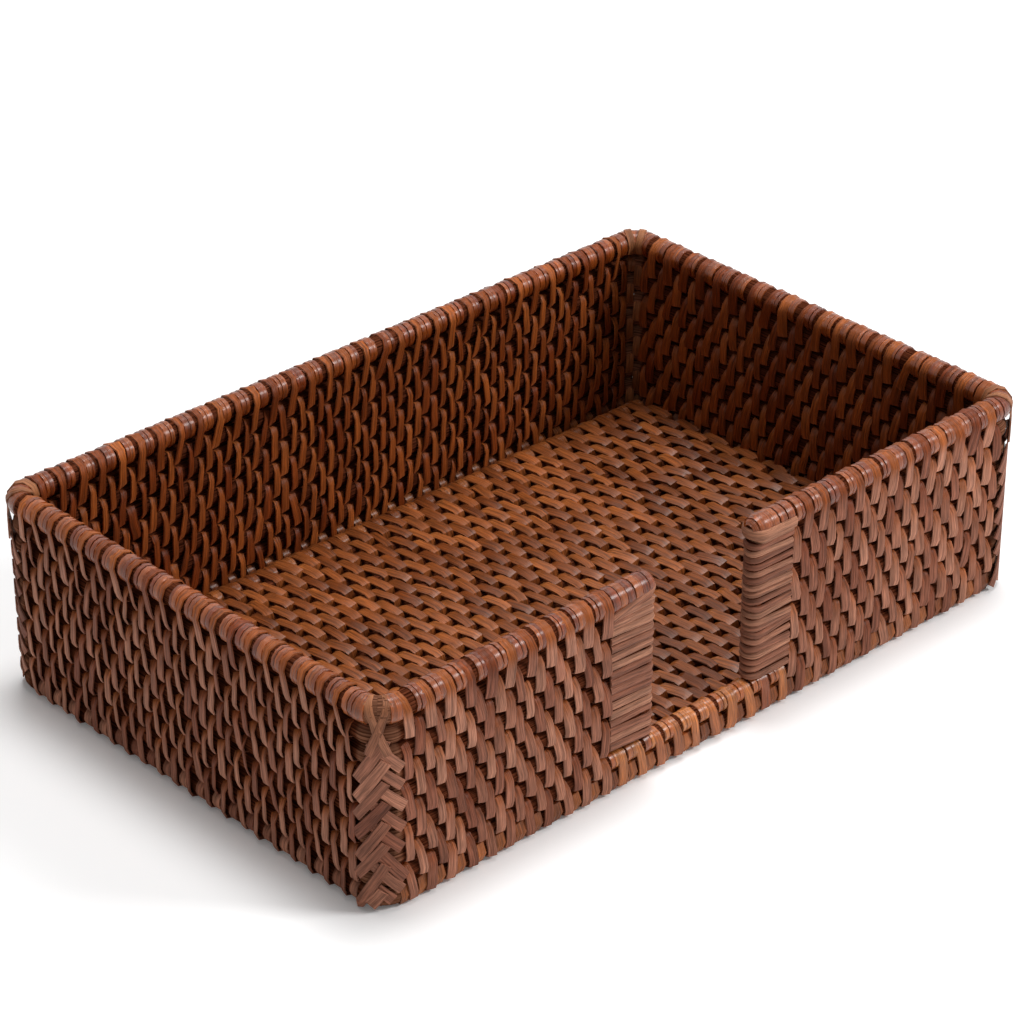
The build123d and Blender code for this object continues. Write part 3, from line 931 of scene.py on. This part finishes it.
# Plain walls. The back counts its columns from the other end, and at the front left corner the
# rim's core lies open.
for wall, half, places in (
    ("left", half_depth, short_places),
    ("right", half_depth, short_places),
    ("back", half_length, long_places),
):
    order = np.arange(len(places))
    order = order[::-1] if wall == "back" else order
    rim_bar = [level_rods(wall, -half, half, [rim_z], core_radius, True, True)]
    rods = [level_rods(wall, -half, half, row_z[1:], rod_radius, True, True, tall=1 + rod_swell_share)]
    right_end = open_bend_wraps_degrees if wall == "left" else bend_wraps_degrees
    rim_strips = wide_wraps(wall, places[order % 2 == 1])
    rim_strips += bend_wraps(wall, half, ((-1, bend_wraps_degrees), (1, right_end)))
    weave = wall_weave(wall, places, order, lean_degrees, lone_last=wall != "back")
    dress_wall(wall, rim_bar, rods, rim_strips, weave)

# Front wall: two stretches that end at the posts beside the gap
front_woven = {
    "left": long_places + strip_width / 2 < bound_low,
    "right": long_places - strip_width / 2 > bound_high,
}
for side, outward, lean, bends in (
    ("left", 1, lean_degrees, open_bend_wraps_degrees),
    ("right", -1, front_right_lean_degrees, bend_wraps_degrees),
):
    left = side == "left"
    woven = front_woven[side]
    stop = rim_stop[side]
    low, high = sorted((-outward * half_length, stop))
    rim_bar = [level_rods("front", low, high, [rim_z], core_radius, left, not left, dome=outward)]
    low, high = sorted((-outward * half_length, post_x[side] - outward * post_radius))
    upper_z = row_z[1 : row_count - 1]
    rods = [level_rods("front", low, high, upper_z, rod_radius, left, not left, tall=1 + rod_swell_share)]
    rim_strips = wide_wraps("front", long_places[woven & (number % 2 == 1)])
    rim_strips += bend_wraps("front", half_length, ((-outward, bends),))
    rim_strips += tip_wraps(stop, outward)
    edge = long_places[woven][-1 if left else 0] + outward * column_pitch / 2
    bare = np.linspace(edge, stop, 1 + round(abs(stop - edge) / bare_wrap_width))
    width = abs(bare[1] - bare[0]) - side_gap
    rim_strips += rim_wraps("front", (bare[1:] + bare[:-1]) / 2, width)
    weave = wall_weave("front", long_places[woven], number[woven], lean, lone_last=False)
    dress_wall("front_" + side, rim_bar, rods, rim_strips, weave)

# Sill of the gap
low_rods = [level_rods("front", -half_length, half_length, row_z[-2:], rod_radius, True, True)]
make_piece("sill_rods", low_rods, core, "rattan_core", "rods_front_low")
sill = ~front_woven["left"] & ~front_woven["right"]
pair_places = long_places[sill & (number % 2 == 0)]
pair_radii = row_radius[-2:] + seat
look = (lean_degrees, strip_width, strip_thickness)
pairs = [loops("front", pair_places, row_z[-2], row_z[-1], pair_radii, *look)]
make_piece("sill_weave", pairs, sill_peel, "rattan_peel_strip", "sill_strips")
wide_places = long_places[sill & (number % 2 == 1)]
wide_width = 2 * column_pitch - sill_strip_cover_share * strip_width - side_gap
middles, widths = two_turns(wide_places, wide_width)
look = (wrap_lean_degrees, widths, strip_thickness)
turns = [wraps("front", middles, row_z[-2], rod_radius + seat, *look, polish=1.0)]
make_piece("sill_wrap", turns, sill_peel, "rattan_rim_strip", "sill_wraps")

# Posts and their bindings
for side, outward, turns, drop, bound, cups in (
    ("left", 1, left_turns, left_drop, bound_low, left_cups),
    ("right", -1, right_turns, 0.0, bound_high, right_cups),
):
    wound = binding(outward, turns, drop, bound, post_x[side], rim_stop[side], cups)
    make_piece("gap_post_" + side, upright_post(post_x[side]), core, "rattan_core", "end_post_" + side)
    make_piece("post_wrap_" + side, wound, pale_peel, "rattan_binding_strip", "post_binding_" + side)

# Corners
for corner, x_side, y_side in (
    ("front_left", -1, -1),
    ("front_right", 1, -1),
    ("back_right", 1, 1),
    ("back_left", -1, 1),
):
    crossed = lashing(x_side, y_side)
    make_piece(
        "corner_cross_" + corner, crossed, corner_peel, "rattan_binding_strip", "corner_lashing_" + corner
    )

# Floor, with one column more than the walls have at each end
make_piece("floor_bars", floor_bars(floor_high.x), core, "rattan_core", "floor_rods")
last = len(floor_y) - 1
beside = floor_side_share * column_pitch
inner_places = np.append(long_places[number % 2 == 0], long_places[-1] + beside)
inner = floor_weave(inner_places, 1, last - 1)
make_piece("floor_weave_inner", inner, floor_peel, "rattan_floor_strip", "floor_strips_inner")
outer_places = np.append(long_places[0] - beside, long_places[number % 2 == 1])
outer = floor_weave(outer_places, 0, last)
make_piece("floor_weave_outer", outer, floor_peel, "rattan_floor_strip", "floor_strips_outer")

white_floor(half_side=3.0, drop=0.1 * mm, glow_strength=0.075)
studio(fill=0.2)
camera(
    place=(-0.63206, -0.66687, 0.5620), down_degrees=29.61, right_degrees=43.30, focal_length=128.5
)
bpy.context.scene.view_settings.view_transform = "Standard"
